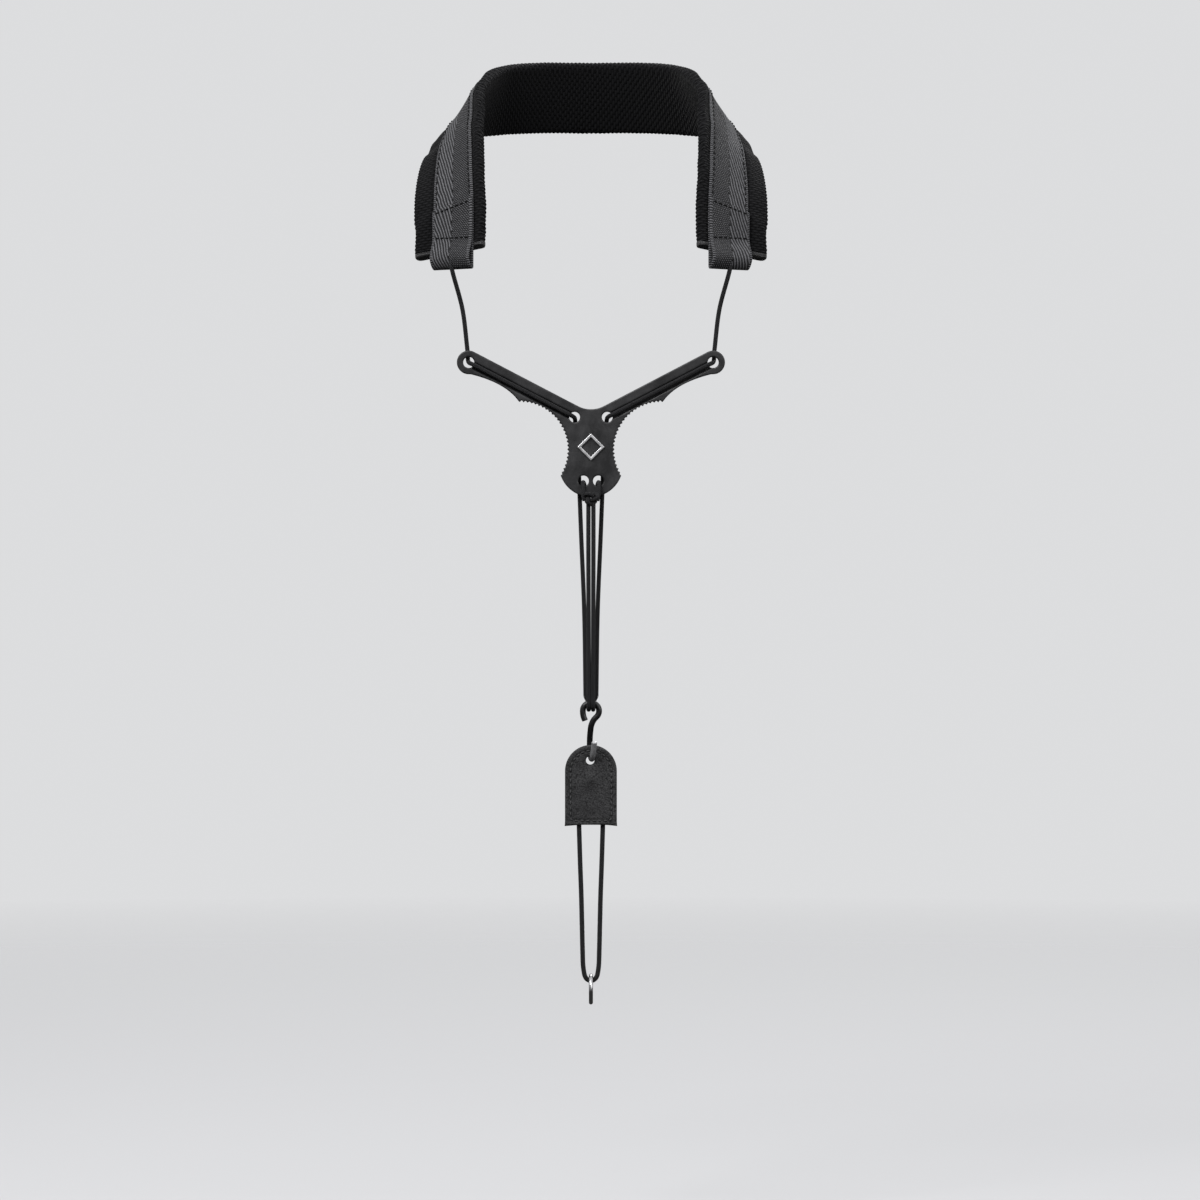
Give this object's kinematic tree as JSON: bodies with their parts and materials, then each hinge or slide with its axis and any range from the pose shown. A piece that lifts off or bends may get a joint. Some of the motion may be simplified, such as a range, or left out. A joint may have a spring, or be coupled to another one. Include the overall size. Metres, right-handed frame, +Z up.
{
  "type": "saxophone neck strap",
  "caption": "Padded neck strap with a sliding cord yoke, a wire hook, and a leather tab carrying an elastic loop with a ring.",
  "frame": {"origin": "middle of the band's inner face, where it rests on the nape of the neck", "axes": "+Z up, +X to the right seen from the front, -Y forwards, away from the nape"},
  "size_m": [0.1926, 0.1332, 0.5216],
  "materials": {
    "pad_fabric": "ribbed black knit cover, dull",
    "foam": "dark foam, hidden inside the cover",
    "webbing": "dark grey herringbone nylon webbing, slight sheen",
    "thread": "black sewing thread",
    "cord": "black braided cord",
    "yoke": "dark grey moulded plastic, satin",
    "emblem": "bright pressed metal foil",
    "hook": "black dipped coating on steel wire, bare steel at the tip",
    "leather": "dark grey grained leather, dull",
    "ring": "plated steel wire"
  },
  "bodies": {
    "neck_band": {"pad_lining": "pad_fabric", "pad_foam": "foam", "pad_cover": "pad_fabric", "webbing_strap": "webbing", "strap_seam_upper": "thread", "strap_seam_lower": "thread", "pad_hem_left": "pad_fabric", "fold_seam_left": "thread", "tunnel_seam_left": "thread", "anchor_knot_left": "cord", "upper_cord_left": "cord", "pad_hem_right": "pad_fabric", "fold_seam_right": "thread", "tunnel_seam_right": "thread", "anchor_knot_right": "cord", "upper_cord_right": "cord"},
    "yoke": {"yoke_plate": "yoke", "yoke_emblem": "emblem", "cord_knot": "cord", "arm_cord_left": "cord", "tail_cord_left": "cord", "outer_strand_left": "cord", "inner_strand_left": "cord", "arm_cord_right": "cord", "tail_cord_right": "cord", "outer_strand_right": "cord", "inner_strand_right": "cord"},
    "bights": {"cord_bight_left": "cord", "cord_bight_right": "cord"},
    "hook": {"wire_hook": "hook"},
    "tab": {"tab_front": "leather", "tab_back": "leather", "tab_filler": "leather", "tab_stitching": "thread", "loop_knot": "cord", "loop_end_left": "cord", "loop_end_right": "cord"},
    "loop": {"loop_cord": "cord"},
    "ring": {"end_ring": "ring"}
  },
  "joints": [
    {"name": "yoke_slide", "type": "slide", "parent": "neck_band", "child": "yoke", "axis": [0, 0, 1], "range_m": [-0.18, 0.04], "deforming": ["upper_cord_left", "upper_cord_right"]},
    {"name": "hook_slide", "type": "slide", "parent": "yoke", "child": "bights", "axis": [0, 0, 1], "range_m": [-0.02, 0.09], "deforming": ["outer_strand_left", "outer_strand_right", "inner_strand_left", "inner_strand_right"]},
    {"name": "hook_swing", "type": "hinge", "parent": "bights", "child": "hook", "pos_m": [0, -0.112, -0.3375], "axis": [1, 0, 0], "range_deg": [-85, 85]},
    {"name": "tab_swing", "type": "hinge", "parent": "hook", "child": "tab", "pos_m": [0, -0.112, -0.3679], "axis": [0, 1, 0], "range_deg": [-80, 80]},
    {"name": "loop_fold", "type": "hinge", "parent": "tab", "child": "loop", "pos_m": [0, -0.112, -0.4056], "axis": [1, 0, 0], "range_deg": [-90, 90]},
    {"name": "ring_swing", "type": "hinge", "parent": "loop", "child": "ring", "pos_m": [0, -0.112, -0.4875], "axis": [1, 0, 0], "range_deg": [-150, 150]}
  ],
  "couplings": [
    {"joint": "hook_slide", "follows": "yoke_slide", "ratio": -0.5}
  ]
}
